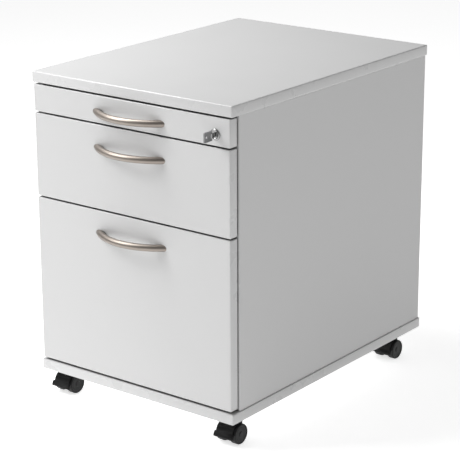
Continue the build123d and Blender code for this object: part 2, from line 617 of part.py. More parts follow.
def locking_bar():
    """A flat bar on the right side board, with a hook for each drawer and a lug over the lock's cam."""
    bottom_z = GUIDE_LOWER_Z - 4.0
    bar = block(BAR_X, BAR_Y, (bottom_z, LUG_Z + BAR_THICK))
    for z in (TRAY_CATCH_Z, BOX_CATCH_Z, FILE_CATCH_Z):
        hook_z = (z - HOOK_DROP - HOOK_HEIGHT, z - HOOK_DROP)
        bar += block((CATCH_X - HOOK_WIDTH, BAR_X[1]), (BAR_Y[0], BAR_Y[0] + BAR_THICK), hook_z)
    lug_z = (LUG_Z, LUG_Z + BAR_THICK)
    lug = block((LOCK_X + LUG_OFFSET, BAR_X[1]), (CAM_Y[0] - LUG_OFFSET, BAR_Y[1]), lug_z)
    tray_room = block((0, TRAY_X + FLANGE_GAP), (NOTCH_Y - FLANGE_GAP, REAR_Y), lug_z)
    return bar + (lug - tray_room)


def guide_screw_places():
    return [(y, z + GUIDE_HEIGHT / 2) for z in (GUIDE_LOWER_Z, GUIDE_UPPER_Z)
            for y in (BAR_Y[0] - GAP - GUIDE_FOOT / 2, BAR_Y[1] + GAP + GUIDE_FOOT / 2)]


def guide_screws():
    radius, depth = GUIDE_SCREW
    return [screw((BAR_X[0] - GUIDE_WALL, y, z), (SIDE_IN_X + depth, y, z), radius, *GUIDE_SCREW_HEAD)
            for y, z in guide_screw_places()]


def guide_screw_holes():
    radius, depth = [size + RUNNING for size in GUIDE_SCREW]
    return [rod((BAR_X[0] - GUIDE_WALL - OVERCUT, y, z), (SIDE_IN_X + depth, y, z), radius)
            for y, z in guide_screw_places()]


def bar_guide(low_z):
    """A plastic bridge that holds the bar against the side board."""
    z = (low_z, low_z + GUIDE_HEIGHT)
    ends = (BAR_Y[0] - GAP - GUIDE_FOOT, BAR_Y[1] + GAP + GUIDE_FOOT)
    bridge = block((BAR_X[0] - GUIDE_WALL, SIDE_IN_X), ends, z)
    slot = block((BAR_X[0] - GAP, SIDE_IN_X + OVERCUT), (BAR_Y[0] - GAP, BAR_Y[1] + GAP),
                 (z[0] - OVERCUT, z[1] + OVERCUT))
    return bridge - slot - guide_screw_holes()


# ---------------------------------------------------------------- casters
PLATE_Z = CASTER_HEIGHT - PLATE_THICK
PLATE_CORNER = 4.0
SWIVEL_PIN = 4.0
PIN_LOW_Z = 24.0
HEAD_RADIUS = 15.0
HEAD_GAP = 0.5                 # from the plate to the swivel head
HEAD_SINK = 1.0                # the head starts this far inside the hood
HOOD_INNER = WHEEL_RADIUS + 1.0
HOOD_WALL = 1.6
HOOD_OUTER = HOOD_INNER + HOOD_WALL
HOOD_HALF_WIDTH = 16.0
HOOD_ANGLES = (-18, 96)        # from straight up towards the front
LIP_HALF_WIDTH = FORK_HALF_WIDTH + WHEEL_WIDTH
LIP_REACH = 24.6
HUB_RADIUS = 15.5              # of the centre web
AXLE_RADIUS = 2.5
AXLE_FIT = 0.02                # the axle sits tight in the web and runs free in the wheels
WHEEL_GAP = 0.4
WHEEL_EDGE_RADIUS = 1.0
WHEEL_FACE = 3.0               # wall of the wheel's closed outer side
CASTER_SCREW_OFFSET = 14.5
CASTER_SCREW_DEPTH = 14.0
CASTER_HEAD_RADIUS = 3.4


def caster_plate(x, y):
    """Fixing plate with its riveted swivel pin."""
    half = PLATE_SIZE / 2
    plate = block((x - half, x + half), (y - half, y + half), (PLATE_Z, CASTER_HEIGHT))
    plate = fillet(plate.edges().filter_by(Axis.Z), PLATE_CORNER)
    plate += rod((x, y, PIN_LOW_Z), (x, y, CASTER_HEIGHT), SWIVEL_PIN)
    radius = WOOD_SCREW_RADIUS + RUNNING
    return plate - [rod((sx, sy, PLATE_Z - OVERCUT), (sx, sy, CASTER_HEIGHT + OVERCUT), radius)
                    for sx, sy in caster_screw_places(x, y)]


def caster_screw_places(x, y):
    return [(x + dx, y + dy) for dx in (-CASTER_SCREW_OFFSET, CASTER_SCREW_OFFSET)
            for dy in (-CASTER_SCREW_OFFSET, CASTER_SCREW_OFFSET)]


def all_caster_screw_places():
    return [place for x, y in CASTER_PLACES.values() for place in caster_screw_places(x, y)]


def caster_screws():
    tip_z = CASTER_HEIGHT + CASTER_SCREW_DEPTH
    return [screw((x, y, PLATE_Z), (x, y, tip_z), WOOD_SCREW_RADIUS, CASTER_HEAD_RADIUS, WOOD_SCREW_HEAD)
            for x, y in all_caster_screw_places()]


def caster_screw_holes():
    tip_z = CASTER_HEIGHT + CASTER_SCREW_DEPTH + RUNNING
    return [rod((x, y, CASTER_HEIGHT - OVERCUT), (x, y, tip_z), WOOD_SCREW_RADIUS + RUNNING)
            for x, y in all_caster_screw_places()]


def around_axle(angle, radius):
    """Point at an angle from straight up towards the front, as (y, z) from the swivel pin and the floor."""
    turn = radians(angle)
    return (-CASTER_TRAIL - radius * sin(turn), WHEEL_RADIUS + radius * cos(turn))


def across_axle(half_width, radius):
    """A round bar on the wheels' axis, as long to the left as to the right."""
    axis = (-CASTER_TRAIL, WHEEL_RADIUS)
    return rod((-half_width, *axis), (half_width, *axis), radius)


def fork_blank():
    """The swivel housing at the origin: centre web, hood over the wheels, flared lip and swivel head."""
    axle = (-CASTER_TRAIL, WHEEL_RADIUS)
    web = FORK_HALF_WIDTH
    hood = across_axle(HOOD_HALF_WIDTH, HOOD_OUTER) - across_axle(HOOD_HALF_WIDTH + OVERCUT, HOOD_INNER)
    start, end = HOOD_ANGLES
    wedge = [axle] + [around_axle(angle, 3 * HOOD_OUTER) for angle in (start, 30, end)]
    hood &= slab(Plane.YZ, wedge, -HOOD_HALF_WIDTH, HOOD_HALF_WIDTH)
    lip = [around_axle(78, HOOD_INNER), around_axle(78, HOOD_OUTER), around_axle(90, LIP_REACH - 1.5),
           around_axle(99, LIP_REACH), around_axle(102, LIP_REACH - 0.6), around_axle(97, HOOD_INNER)]
    fork = hood + slab(Plane.YZ, lip, -LIP_HALF_WIDTH, LIP_HALF_WIDTH)
    fork += across_axle(web, HUB_RADIUS)
    fill = [axle] + [around_axle(angle, HOOD_INNER + HOOD_WALL / 2) for angle in range(start, end, 18)]
    fork += slab(Plane.YZ, fill, -web, web)
    fork += block((-web, web), (-CASTER_TRAIL, 2 * SWIVEL_PIN), (WHEEL_RADIUS - 5.0, PLATE_Z - 4.0))
    head_z = WHEEL_RADIUS + HOOD_OUTER - HEAD_SINK
    fork += rod((0, 0, head_z), (0, 0, PLATE_Z - HEAD_GAP), HEAD_RADIUS)
    fork -= rod((0, 0, PIN_LOW_Z - HEAD_GAP), (0, 0, CASTER_HEIGHT), SWIVEL_PIN + RUNNING)
    return fork - across_axle(web + OVERCUT, AXLE_RADIUS + AXLE_FIT)


def axle_blank():
    return across_axle(FORK_HALF_WIDTH + WHEEL_GAP + WHEEL_WIDTH - WHEEL_FACE - WHEEL_GAP, AXLE_RADIUS)


def wheel_blank():
    """Right-hand wheel of a pair: closed outside, with a blind bore for the axle."""
    inner = FORK_HALF_WIDTH + WHEEL_GAP
    axis = (-CASTER_TRAIL, WHEEL_RADIUS)
    wheel = fillet(rod((inner, *axis), (inner + WHEEL_WIDTH, *axis), WHEEL_RADIUS).edges(), WHEEL_EDGE_RADIUS)
    bore_end = (inner + WHEEL_WIDTH - WHEEL_FACE, *axis)
    return wheel - rod((inner - OVERCUT, *axis), bore_end, AXLE_RADIUS + RUNNING)


# ---------------------------------------------------------------- build and write every node
save("top_panel", end_board((TOP_UNDER_Z, CABINET_HEIGHT)))
save("base_panel", end_board((CASTER_HEIGHT, BASE_TOP_Z)) - caster_screw_holes())
right_side = side_board()
save("side_panel_left", mirrored(right_side - rail_screw_holes()))
save("side_panel_right", right_side - rail_screw_holes() - guide_screw_holes())
save("back_panel", back_board())
save("carcass_dowels", *dowels())

save("tray_rails", *both_sides(tray_rail() - rail_screw_holes()))
box_rail_right = box_rail() - rail_screw_holes()
save("box_rail_right", box_rail_right)
save("box_rail_left", mirrored(box_rail_right))
save("file_slide_cabinet_members", *both_sides(slide_outer_member() - rail_screw_holes()))
save("rail_screws", *[piece for one in rail_screws() for piece in both_sides(one)], *guide_screws())

lock_hole = rod(lock_axis(FRONT_Y - OVERCUT), lock_axis(FRONT_BACK_Y + OVERCUT), LOCK_BODY_RADIUS + RUNNING)
pen_front = front(PEN_FRONT_Z) - handle_screw_holes(PEN_HANDLE_Z, HANDLE_SCREW + RUNNING)
save("pen_drawer_front", pen_front - lock_hole)
save("pen_drawer_handle", handle(PEN_HANDLE_Z))
save("pen_handle_screws", *handle_screws(PEN_HANDLE_Z, TRAY_WALL))
save("pen_tray", pen_tray())

save("box_drawer_front", front(BOX_FRONT_Z) - handle_screw_holes(BOX_HANDLE_Z, HANDLE_SCREW + RUNNING))
save("box_drawer_handle", handle(BOX_HANDLE_Z))
save("box_handle_screws", *handle_screws(BOX_HANDLE_Z, SHEET))
save("box_drawer_shell", *steel_box(BOX_DEPTH, BOX_Z, BOX_HEIGHT, BOX_HANDLE_Z, BOX_CATCH_Z))
runner_right = box_runner()
save("box_runner_right", runner_right)
save("box_runner_left", mirrored(runner_right))
save("box_front_rollers", *both_sides(roller(FRONT_ROLLER_Y, FRONT_ROLLER_Z)))
save("box_rear_rollers", *both_sides(roller(REAR_ROLLER_Y, REAR_ROLLER_Z)))

save("file_drawer_front", front(FILE_FRONT_Z) - handle_screw_holes(FILE_HANDLE_Z, HANDLE_SCREW + RUNNING))
save("file_drawer_handle", handle(FILE_HANDLE_Z))
save("file_handle_screws", *handle_screws(FILE_HANDLE_Z, SHEET))
save("file_drawer_shell", *steel_box(FILE_DEPTH, FILE_Z, FILE_HEIGHT, FILE_HANDLE_Z, FILE_CATCH_Z))
save("hanging_rails", *both_sides(hanging_rail()))
save("file_slide_middle_members", *both_sides(slide_middle_member()))
save("file_slide_drawer_members", *both_sides(slide_drawer_member()))
outer_strips = ball_strips(OUTER_BALL_X, MIDDLE_HALF)
inner_strips = ball_strips(INNER_BALL_X, INNER_HALF)
save("file_slide_outer_balls", *outer_strips, *[mirrored(piece) for piece in outer_strips])
save("file_slide_inner_balls", *inner_strips, *[mirrored(piece) for piece in inner_strips])

save("lock_cylinder", lock_cylinder())
save("lock_nut", lock_nut())
save("lock_plug", lock_plug())
save("lock_cam", lock_cam())
save("cam_screw", cam_screw())
save("key_blade", key_blade())
save("key_bow", key_bow())
save("locking_bar", locking_bar())
save("bar_guides", bar_guide(GUIDE_LOWER_Z), bar_guide(GUIDE_UPPER_Z))

save("caster_plates", *[caster_plate(x, y) for x, y in CASTER_PLACES.values()])
save("caster_screws", *caster_screws())
fork, axle, wheel = fork_blank(), axle_blank(), wheel_blank()
for corner, (x, y) in CASTER_PLACES.items():
    save(f"caster_{corner}_fork", Pos(x, y, 0) * fork)
    save(f"caster_{corner}_axle", Pos(x, y, 0) * axle)
    save(f"caster_{corner}_wheel_right", Pos(x, y, 0) * wheel)
    save(f"caster_{corner}_wheel_left", Pos(x, y, 0) * mirrored(wheel))
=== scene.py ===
"""Looks of a rolling pedestal cabinet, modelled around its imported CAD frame."""

import json
from math import acos, cos, pi, radians, sin

import bmesh
import bpy
from mathutils import Matrix, Vector


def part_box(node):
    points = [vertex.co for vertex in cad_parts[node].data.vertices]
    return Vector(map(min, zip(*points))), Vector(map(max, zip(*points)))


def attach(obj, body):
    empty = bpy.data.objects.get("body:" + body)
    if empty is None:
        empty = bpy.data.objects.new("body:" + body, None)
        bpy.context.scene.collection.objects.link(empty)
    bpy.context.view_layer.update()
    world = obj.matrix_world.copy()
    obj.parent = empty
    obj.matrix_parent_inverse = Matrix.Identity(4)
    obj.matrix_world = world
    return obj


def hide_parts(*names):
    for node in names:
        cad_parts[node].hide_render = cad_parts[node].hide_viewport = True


bl_info = {
    "name": "Rolling pedestal cabinet",
    "version": (1, 0, 0),
    "blender": (4, 5, 0),
    "location": "View3D > Sidebar > Pedestal",
    "description": "Models the boards, handles, lock, key, drawers and casters of a rolling pedestal cabinet",
    "category": "Add Mesh",
}

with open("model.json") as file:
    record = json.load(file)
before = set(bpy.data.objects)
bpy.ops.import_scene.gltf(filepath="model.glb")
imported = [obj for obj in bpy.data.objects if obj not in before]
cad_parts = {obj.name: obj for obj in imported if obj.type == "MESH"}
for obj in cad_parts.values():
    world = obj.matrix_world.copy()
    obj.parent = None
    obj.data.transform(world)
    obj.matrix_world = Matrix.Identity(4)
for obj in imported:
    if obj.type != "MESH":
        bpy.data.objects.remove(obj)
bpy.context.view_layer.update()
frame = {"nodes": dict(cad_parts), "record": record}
MM = 0.001
CORNERS = ("front_left", "front_right", "rear_left", "rear_right")
DRAWERS = ("pen", "box", "file")
WELD = 0.005 * MM              # vertices this near to each other are merged
HAIR = 0.01 * MM               # tolerance when a vertex or face is picked by its place


def linear(hex_colour):
    """An sRGB hex colour as the linear red, green, blue and alpha that shaders take."""
    parts = [int(hex_colour[i:i + 2], 16) / 255 for i in (1, 3, 5)]
    return tuple(p / 12.92 if p <= 0.04045 else ((p + 0.055) / 1.055) ** 2.4 for p in parts) + (1.0,)


# ---------------------------------------------------------------- sizes and colours a user would change
def length(name, description, default):
    return bpy.props.FloatProperty(name=name, description=description, default=default * MM, unit="LENGTH")


def angle(name, description, default):
    return bpy.props.FloatProperty(name=name, description=description, default=radians(default), subtype="ANGLE")


def colour(name, description, default):
    return bpy.props.FloatVectorProperty(name=name, description=description, default=linear(default), size=4,
                                         subtype="COLOR", min=0, max=1)


class PedestalSizes(bpy.types.PropertyGroup):
    edge_radius: length("Board edge radius", "Rounding of the edging on the top and base boards", 2.0)
    front_radius: length("Front edge radius", "Rounding of the edging on the drawer fronts", 1.6)
    side_radius: length("Side edge radius", "Rounding of the edging on the side boards", 0.6)
    edging: length("Edging thickness", "Thickness of the plastic edging on the boards", 2.2)
    seam: length("Seam", "Width and depth of the joint line between edging and facing", 0.12)
    sheet: length("Sheet", "Thickness of the drawers' sheet steel", 1.2)
    bend: length("Bend radius", "Radius of the bends in the sheet steel", 2.4)
    hem: length("Hem", "Depth of the folded hem along the top of a steel drawer's sides", 8.0)
    drawer_gap: length("Drawer clearance", "From a side board to the steel drawers", 14.0)
    catch_pin: length("Catch pin radius", "Pin on each drawer that the locking bar holds", 3.0)
    lock_ring: length("Lock ring", "How far the lock's ring stands proud", 2.5)
    plug_radius: length("Plug radius", "Radius of the lock's turning core", 5.5)
    wheel_face: length("Wheel face", "Thickness of a wheel's closed outer face", 3.0)


class PedestalColours(bpy.types.PropertyGroup):
    board: colour("Boards", "Melamine facing of the boards", "#c5c5c5")
    edging: colour("Edging", "Plastic edging of the boards", "#c6c6c6")
    handle: colour("Handles", "Satin nickel plate", "#8f8780")
    lock: colour("Lock", "Polished chrome plate", "#9c9c9c")
    key_grip: colour("Key grip", "Moulded grip of the key", "#7d7d7e")
    caster: colour("Casters", "Moulded nylon of the casters", "#0a0a0b")
    tray: colour("Pen tray", "Moulded polystyrene of the pen tray", "#303032")
    sheet: colour("Drawer steel", "Powder coat of the steel drawers", "#c4c6c8")
    zinc: colour("Rails", "Zinc plate of rails and screws", "#b9bcc0")


class PedestalView(bpy.types.PropertyGroup):
    azimuth: angle("Azimuth", "Camera's turn from the front towards the right side", 37.56)
    elevation: angle("Elevation", "Camera's height angle above level", 17.70)
    roll: angle("Roll", "Camera's tilt about its own axis", -0.244)
    distance: length("Distance", "From the camera to the middle of the cabinet", 3266.5)
    aim: bpy.props.FloatVectorProperty(name="Aim", description="Point that the camera looks at", size=3,
                                       default=(-1.2 * MM, -1.2 * MM, 276.9 * MM), subtype="XYZ", unit="LENGTH")
    lens: bpy.props.FloatProperty(name="Lens", description="Focal length in millimetres", default=142.46)


def sizes():
    return bpy.context.scene.pedestal_sizes


def colours():
    return bpy.context.scene.pedestal_colours


# ---------------------------------------------------------------- modelling helpers
RUNNING_GAP = 0.05 * MM        # between a pin or core and its bore
AXES = {"X": Vector((1, 0, 0)), "Y": Vector((0, 1, 0)), "Z": Vector((0, 0, 1))}


def alone(piece):
    """Make a piece the only selected object, and the active one."""
    bpy.ops.object.select_all(action="DESELECT")
    piece.select_set(True)
    bpy.context.view_layer.objects.active = piece
    return piece


def start(add, name, **place):
    """Add a primitive with an operator, alone in the selection, and name it."""
    bpy.ops.object.select_all(action="DESELECT")
    add(**place)
    piece = bpy.context.object
    piece.name = piece.data.name = name
    bpy.ops.object.transform_apply(location=True, rotation=True, scale=True)
    return piece


def edit(piece):
    """Enter edit mode with everything selected."""
    alone(piece)
    bpy.ops.object.mode_set(mode="EDIT")
    bpy.ops.mesh.select_mode(type="VERT")
    bpy.ops.mesh.select_all(action="SELECT")


def pick(piece, kind, test):
    """In edit mode, select only the faces, edges or verts that pass a test."""
    bpy.ops.mesh.select_all(action="DESELECT")
    mesh = bmesh.from_edit_mesh(piece.data)
    bpy.ops.mesh.select_mode(type={"verts": "VERT", "edges": "EDGE", "faces": "FACE"}[kind])
    for item in getattr(mesh, kind):
        item.select_set(test(item))
    mesh.select_flush_mode()
    bmesh.update_edit_mesh(piece.data)


def done(piece, smooth=35):
    """Merge doubles, point all faces outwards and shade smooth across soft edges."""
    if piece.mode != "EDIT":
        edit(piece)
    bpy.ops.mesh.select_mode(type="VERT")
    bpy.ops.mesh.select_all(action="SELECT")
    bpy.ops.mesh.remove_doubles(threshold=WELD)
    bpy.ops.mesh.normals_make_consistent(inside=False)
    bpy.ops.object.mode_set(mode="OBJECT")
    alone(piece)
    bpy.ops.object.shade_smooth_by_angle(angle=radians(smooth))
    return piece


def modify(piece, kind, **settings):
    """Add a modifier with its settings, and apply it."""
    alone(piece)
    made = piece.modifiers.new(kind.title(), kind)
    for name, value in settings.items():
        setattr(made, name, value)
    bpy.ops.object.modifier_apply(modifier=made.name)
    return piece


def cut(piece, other):
    """Cut one piece with another, and delete the other."""
    modify(piece, "BOOLEAN", object=other, operation="DIFFERENCE", solver="EXACT")
    alone(other)
    bpy.ops.object.delete()
    return piece


def soften(piece, width, segments=3, angle=35):
    """Round every edge that is sharper than an angle."""
    return modify(piece, "BEVEL", width=width, segments=segments, limit_method="ANGLE",
                  angle_limit=radians(angle))


def cube(name, low, high):
    """A box between two corners."""
    middle = (Vector(low) + Vector(high)) / 2
    return start(bpy.ops.mesh.primitive_cube_add, name, size=1, location=middle,
                 scale=tuple(Vector(high) - Vector(low)))


def middle_of(face):
    return face.calc_center_median()


def runs_along(edge, axis):
    """Whether an edge is parallel to an axis, given as 0, 1 or 2."""
    way = edge.verts[1].co - edge.verts[0].co
    return abs(way[axis]) > 0.99 * way.length


def spun(name, points, centre, axis, turn=2 * pi, steps=48, closed=False):
    """A shape turned about an axis: one vertex is extruded from point to point, and the line is spun."""
    piece = start(bpy.ops.mesh.primitive_plane_add, name, size=MM, location=points[0])
    edit(piece)
    bpy.ops.mesh.merge(type="CENTER")
    for here, there in zip(points, points[1:]):
        bpy.ops.mesh.extrude_region_move(TRANSFORM_OT_translate={"value": Vector(there) - Vector(here)})
    if closed:
        pick(piece, "verts", lambda v: len(v.link_edges) == 1)
        bpy.ops.mesh.edge_face_add()
    bpy.ops.mesh.select_all(action="SELECT")
    # with no window, spin turns the other way, which is why the angle is negative
    bpy.ops.mesh.spin(steps=steps, angle=-turn, center=centre, axis=AXES[axis])
    return piece


def quarter(first, last):
    """Angles in radians from first to last, in steps of 15 degrees."""
    return [radians(step) for step in range(first, last + 1, 15)]


def lathe(name, centre, axis, profile, steps=48, closed=False):
    """A turned piece. The profile lists the distance along the axis from the centre, and the radius."""
    out = AXES["X"] if axis == "Z" else AXES["Z"]
    points = [Vector(centre) + AXES[axis] * along + out * radius for along, radius in profile]
    return done(spun(name, points, centre, axis, steps=steps, closed=closed))


def copied(piece, name, place=(0, 0, 0), turn=0.0):
    """A copy with a mesh of its own, turned about the upright through the origin and then moved."""
    twin = bpy.data.objects.new(name, piece.data.copy())
    twin.data.name = name
    bpy.context.collection.objects.link(twin)
    twin.rotation_euler.z = turn
    twin.location = place
    alone(twin)
    bpy.ops.object.transform_apply(location=True, rotation=True, scale=True)
    return twin


def softened(name, node, width):
    """A frame node's own shape, merged, with its edges rounded as those of a moulded piece."""
    piece = copied(frame["nodes"][node], name)
    edit(piece)
    bpy.ops.mesh.remove_doubles(threshold=WELD)
    bpy.ops.mesh.dissolve_limited(angle_limit=radians(0.5))
    bpy.ops.object.mode_set(mode="OBJECT")
    soften(piece, width, angle=40)
    return done(piece, 40)


def joined(piece, *others):
    """Join other pieces into the first."""
    alone(piece)
    for other in others:
        other.select_set(True)
    bpy.ops.object.join()
    return piece


def finish_piece(piece, body, slot, material, *replaced):
    """Give a finished piece its material and body, and hide the CAD nodes that it stands for. The slot is not
    used.
    """
    if material is not None:
        piece.data.materials.clear()
        piece.data.materials.append(material)
    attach(piece, body)
    if replaced:
        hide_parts(*replaced)
    return piece


# ---------------------------------------------------------------- materials
def add_node(tree, kind, settings=None, inputs=None):
    """A shader node with its settings, values and links."""
    made = tree.nodes.new(kind)
    for name, value in (settings or {}).items():
        setattr(made, name, value)
    for name, value in (inputs or {}).items():
        if isinstance(value, bpy.types.NodeSocket):
            tree.links.new(value, made.inputs[name])
        else:
            made.inputs[name].default_value = value
    return made


def surface(name, **values):
    """A new material with a Principled shader, its tree, and object coordinates."""
    material = bpy.data.materials.get(name)
    if material:
        return material, None, None, None
    material = bpy.data.materials.new(name)
    material.use_nodes = True
    tree = material.node_tree
    shader = tree.nodes["Principled BSDF"]
    for socket, value in values.items():
        shader.inputs[socket.replace("_", " ")].default_value = value
    place = add_node(tree, "ShaderNodeTexCoord").outputs["Object"]
    return material, tree, shader, place


def mottled(tree, shader, place, base, spread, size, rough, rough_spread):
    """Colour and roughness that wander a little about their values, over patches of a real size."""
    patches = add_node(tree, "ShaderNodeTexNoise", inputs={"Vector": place, "Scale": 1 / size, "Detail": 4.0})
    shade = [tuple(c * k for c in base[:3]) + (1.0,) for k in (1 - spread, 1 + spread)]
    ramp = add_node(tree, "ShaderNodeMix", {"data_type": "RGBA"}, {"Factor": patches.outputs["Fac"]})
    ramp.inputs["A"].default_value, ramp.inputs["B"].default_value = shade
    tree.links.new(ramp.outputs["Result"], shader.inputs["Base Color"])
    gloss = add_node(tree, "ShaderNodeMapRange", inputs={
        "Value": patches.outputs["Fac"], "To Min": rough - rough_spread, "To Max": rough + rough_spread})
    tree.links.new(gloss.outputs["Result"], shader.inputs["Roughness"])


def relief(tree, shader, height, distance, strength):
    """Bump the surface by a height from 0 to 1 that stands for a real distance."""
    bump = add_node(tree, "ShaderNodeBump", inputs={"Height": height, "Distance": distance, "Strength": strength})
    tree.links.new(bump.outputs["Normal"], shader.inputs["Normal"])


def grain(tree, shader, place, size, depth, strength, detail=2.0):
    """A relief of soft noise with grains of a real size and depth."""
    noise = add_node(tree, "ShaderNodeTexNoise", inputs={"Vector": place, "Scale": 1 / size, "Detail": detail})
    relief(tree, shader, noise.outputs["Fac"], depth, strength)


def squeezed(tree, place, scale):
    """Coordinates scaled along each axis, so that what is drawn on them runs along the axis of least scale."""
    return add_node(tree, "ShaderNodeMapping", inputs={"Vector": place, "Scale": scale}).outputs["Vector"]


def shaded_slots(tree, shader, depth):
    """Paint shade into the base colour where another surface stands close in front of it, as in the slots between
    the boards.
    """
    base = shader.inputs["Base Color"].links[0].from_socket
    near = add_node(tree, "ShaderNodeAmbientOcclusion", {"samples": 16}, {"Distance": depth})
    kept = add_node(tree, "ShaderNodeMapRange", {"interpolation_type": "SMOOTHSTEP"}, {
        "Value": near.outputs["AO"], "From Min": 0.12, "From Max": 0.62, "To Min": 0.03, "To Max": 1.0})
    # painted shade: the colour is mixed towards black where little open space surrounds the surface
    painted_slot_shade = add_node(tree, "ShaderNodeMix", {"data_type": "RGBA"}, {"Factor": kept.outputs["Result"]})
    painted_slot_shade.inputs["A"].default_value = (0.0, 0.0, 0.0, 1.0)
    tree.links.new(base, painted_slot_shade.inputs["B"])
    tree.links.new(painted_slot_shade.outputs["Result"], shader.inputs["Base Color"])


SLOT_DEPTH = 7 * MM            # how near another board has to be for shade to be painted into a slot


def melamine_facing():
    """Melamine-faced chipboard, pressed against a fine pearl plate: an even pale grey with a soft sheen."""
    material, tree, shader, place = surface("melamine_facing", IOR=1.5)
    if tree:
        mottled(tree, shader, place, colours().board, 0.008, 60 * MM, 0.42, 0.04)
        grain(tree, shader, place, 1.2 * MM, 0.03 * MM, 0.6, 3.0)
        # painted shade in the slots between the boards
        shaded_slots(tree, shader, SLOT_DEPTH)
    return material


def abs_edging():
    """ABS edging, glued on and milled round: a shade smoother than the facing, with faint run marks."""
    material, tree, shader, place = surface("abs_edging", IOR=1.53)
    if tree:
        mottled(tree, shader, place, colours().edging, 0.008, 40 * MM, 0.28, 0.03)
        grain(tree, shader, place, 0.9 * MM, 0.02 * MM, 0.4)
        # painted shade in the slots between the boards
        shaded_slots(tree, shader, SLOT_DEPTH)
    return material


def satin_nickel():
    """Nickel-plated steel, brushed to a satin: a warm grey metal with a broad soft highlight."""
    material, tree, shader, place = surface("satin_nickel_plate", Metallic=1.0)
    if tree:
        mottled(tree, shader, place, colours().handle, 0.03, 15 * MM, 0.43, 0.05)
        grain(tree, shader, squeezed(tree, place, (1, 6, 12)), 6 * MM, 0.02 * MM, 0.6, 3.0)
    return material


def chrome_plate():
    """Polished nickel-chrome plate on die-cast zinc: a clear mirror with the faintest ripple."""
    material, tree, shader, place = surface("nickel_chrome_plate", Metallic=1.0)
    if tree:
        mottled(tree, shader, place, colours().lock, 0.02, 8 * MM, 0.17, 0.04)
        grain(tree, shader, place, 3 * MM, 0.02 * MM, 0.4)
    return material


def moulded(name, base, rough, grain, depth, ior=1.5):
    """Moulded plastic off a spark-eroded tool: a fine even grain that breaks up the shine."""
    material, tree, shader, place = surface(name, IOR=ior)
    if tree:
        mottled(tree, shader, place, base, 0.05, 20 * MM, rough, 0.05)
        pits = add_node(tree, "ShaderNodeTexVoronoi", inputs={"Vector": place, "Scale": 1 / (grain * MM)})
        relief(tree, shader, pits.outputs["Distance"], depth * MM, 0.5)
    return material


def powder_coat():
    """Epoxy powder coat on sheet steel: an even colour over a slight orange peel."""
    material, tree, shader, place = surface("epoxy_powder_coat", IOR=1.55)
    if tree:
        mottled(tree, shader, place, colours().sheet, 0.015, 50 * MM, 0.38, 0.04)
        grain(tree, shader, place, 2.5 * MM, 0.06 * MM, 0.6)
    return material


def zinc_plate():
    """Bright zinc plate on rolled steel: bluish grey, with soft spangle patches along the roll."""
    material, tree, shader, place = surface("bright_zinc_plate", Metallic=1.0)
    if tree:
        mottled(tree, shader, place, colours().zinc, 0.06, 12 * MM, 0.33, 0.08)
        grain(tree, shader, squeezed(tree, place, (8, 1, 8)), 8 * MM, 0.02 * MM, 0.5, 3.0)
    return material


def anodised_aluminium():
    """Natural anodised aluminium extrusion: a matt silver with fine draw lines along its length."""
    material, tree, shader, place = surface("anodised_aluminium", Metallic=1.0)
    if tree:
        mottled(tree, shader, place, linear("#c9cbce"), 0.03, 25 * MM, 0.36, 0.04)
        grain(tree, shader, squeezed(tree, place, (20, 1, 20)), 10 * MM, 0.02 * MM, 0.6, 3.0)
    return material


def bearing_steel():
    """Hardened and polished bearing steel: a bright mirror, a little darker than chrome."""
    material, tree, shader, place = surface("bearing_steel", Metallic=1.0)
    if tree:
        mottled(tree, shader, place, linear("#b4b6ba"), 0.04, 4 * MM, 0.16, 0.05)
    return material


def beech():
    """Turned beech: pale pinkish brown, with fine grain along the dowel."""
    material, tree, shader, place = surface("turned_beech", IOR=1.45)
    if tree:
        along = squeezed(tree, place, (10, 10, 1))
        mottled(tree, shader, along, linear("#c8a077"), 0.12, 10 * MM, 0.6, 0.05)
        grain(tree, shader, along, 4 * MM, 0.05 * MM, 0.6, 4.0)
    return material


DUSTY_NYLON = 1.36             # index of refraction: below that of clean nylon, as its grain traps light


def caster_nylon():
    """Black moulded nylon of the casters: a dull satin, finely grained."""
    return moulded("black_moulded_nylon", colours().caster, 0.5, 0.9, 0.03, DUSTY_NYLON)


def wheel_tread():
    """Black moulded nylon of the wheels: greyer and smoother than the housings, as its grain is finer."""
    return moulded("black_nylon_wheel", linear("#0c0c0d"), 0.44, 0.9, 0.02, DUSTY_NYLON)


def slot_material(slot):
    """The material of each slot of the record."""
    makers = {
        "board": melamine_facing, "beech": beech, "zinc_steel": zinc_plate, "grey_steel": powder_coat,
        "satin_nickel": satin_nickel, "anodised": anodised_aluminium, "bearing_steel": bearing_steel,
        "lock_chrome": chrome_plate, "key_steel": chrome_plate, "caster_plastic": caster_nylon,
        "tray_plastic": lambda: moulded("moulded_polystyrene", colours().tray, 0.5, 0.8, 0.05),
        "roller_nylon": lambda: moulded("white_nylon", linear("#e4e3de"), 0.35, 0.7, 0.02),
        "key_plastic": lambda: moulded("grey_moulded_grip", colours().key_grip, 0.45, 0.6, 0.03),
        "black_plastic": lambda: moulded("black_acetal", linear("#202022"), 0.4, 0.7, 0.03),
    }
    return makers[slot]()


